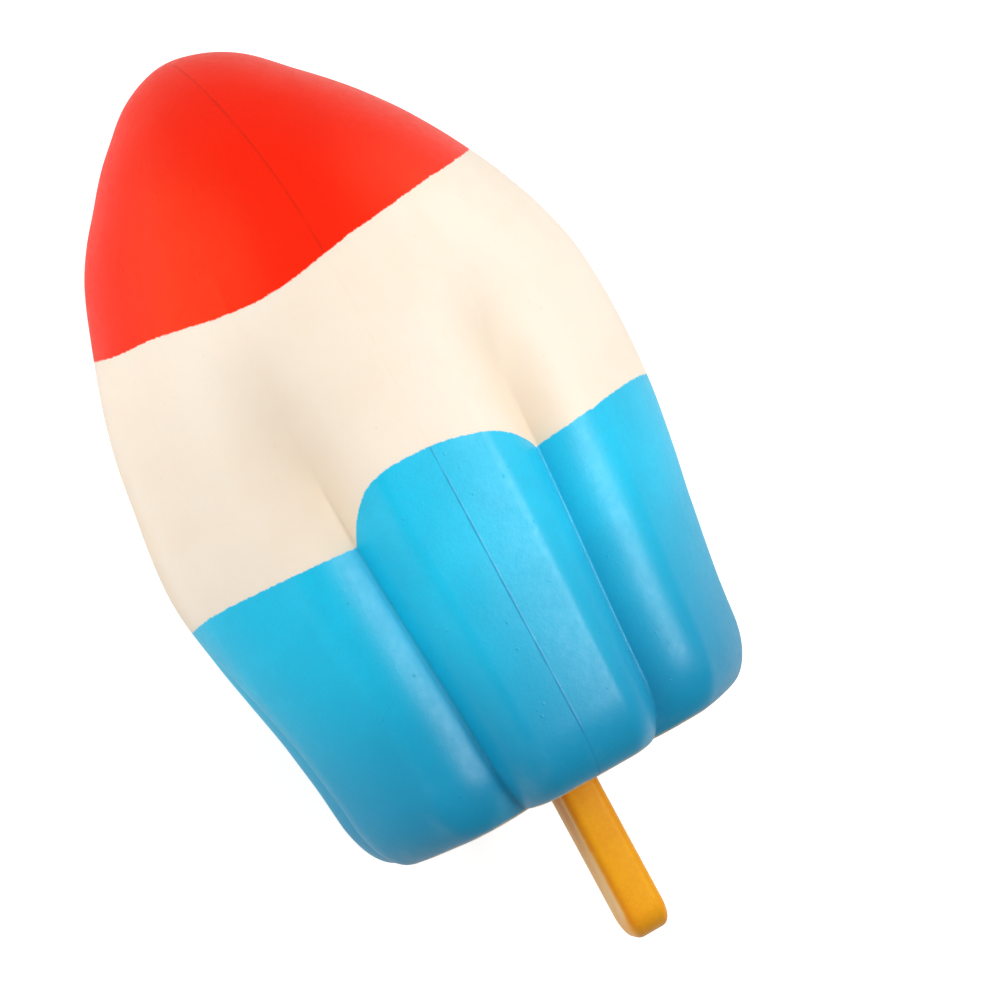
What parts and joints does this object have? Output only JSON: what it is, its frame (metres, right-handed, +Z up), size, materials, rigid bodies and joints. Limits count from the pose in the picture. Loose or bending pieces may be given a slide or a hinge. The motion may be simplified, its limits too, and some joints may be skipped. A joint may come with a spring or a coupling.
{
  "type": "rocket ice lolly squeeze toy",
  "caption": "Large soft foam stress toy shaped as a grooved rocket ice lolly on a stick; the body squeezes and bends, the stick flexes, and all spring back slowly.",
  "frame": {"origin": "on the table, under the middle of the whole toy as it lies on its side", "axes": "+X along the toy to the tip of its nose, +Z up through the crest of the top lobe, +Y across the body"},
  "size_m": [0.3104, 0.1544, 0.1226],
  "materials": {
    "cream_foam": "matte",
    "cream_skin": "satin",
    "red_paint": "satin",
    "blue_paint": "satin",
    "orange_paint": "satin"
  },
  "bodies": {
    "base": {"lower_core": "cream_foam", "blue_lower_skin": "blue_paint", "base_skin": "cream_skin"},
    "middle": {"middle_core": "cream_foam", "cream_middle_skin": "cream_skin"},
    "nose": {"nose_core": "cream_foam", "red_nose_skin": "red_paint"},
    "stick": {"stick_core": "cream_foam", "stick_paint_film": "orange_paint"}
  },
  "joints": [
    {"name": "length_squeeze", "type": "slide", "parent": "base", "child": "middle", "axis": [-1, 0, 0], "range_m": [0, 0.035], "stiffness_N_per_m": 1500, "deforming": ["lower_core", "blue_lower_skin"]},
    {"name": "nose_bend", "type": "hinge", "parent": "middle", "child": "nose", "pos_m": [0.04375, 0, 0.061], "axis": [0, 0, 1], "range_deg": [-30, 30], "stiffness_Nm_per_rad": 2.5, "deforming": ["middle_core", "cream_middle_skin"]},
    {"name": "stick_flex", "type": "hinge", "parent": "base", "child": "stick", "pos_m": [-0.10231, 0, 0.061], "axis": [0, 0, 1], "range_deg": [-25, 25], "stiffness_Nm_per_rad": 0.4}
  ]
}
